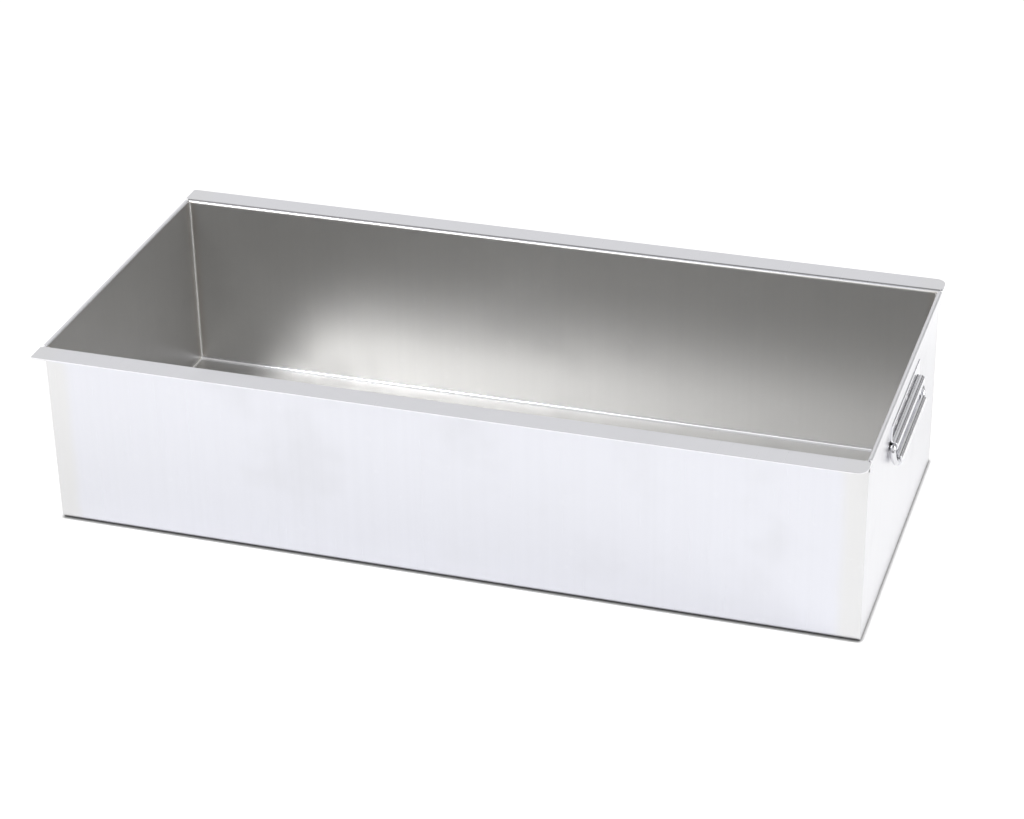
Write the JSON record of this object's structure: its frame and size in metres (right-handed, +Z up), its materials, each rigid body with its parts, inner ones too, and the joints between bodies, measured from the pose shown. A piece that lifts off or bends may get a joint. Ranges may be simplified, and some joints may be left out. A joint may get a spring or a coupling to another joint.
{
  "type": "slide-out pan",
  "caption": "Deep rectangular sheet-metal pan, open at the top, with a flange along each long side and a folding bail handle on one end.",
  "frame": {"origin": "centre of the flat underside of the pan's floor", "axes": "+X along the pan towards the end with the handle, +Y across the pan towards the rear flange, +Z up, out of the open top"},
  "size_m": [0.4683, 0.228, 0.11],
  "materials": {
    "pan_sheet": "satin mill finish",
    "handle_sheet": "polished",
    "handle_wire": "polished",
    "handle_sleeve": "polished"
  },
  "bodies": {
    "pan": {"pan_trough": "pan_sheet", "handle_end_panel": "pan_sheet", "plain_end_panel": "pan_sheet", "handle_plate": "handle_sheet"},
    "bail": {"bail_wire": "handle_wire"},
    "sleeve": {"grip_sleeve": "handle_sleeve"}
  },
  "joints": [
    {"name": "bail_swing", "type": "hinge", "parent": "pan", "child": "bail", "pos_m": [0.2318, 0, 0.08514], "axis": [0, -1, 0], "range_deg": [0, 155]},
    {"name": "sleeve_spin", "type": "hinge", "parent": "bail", "child": "sleeve", "pos_m": [0.2335, 0, 0.07458], "axis": [0, 1, 0], "continuous": true}
  ]
}
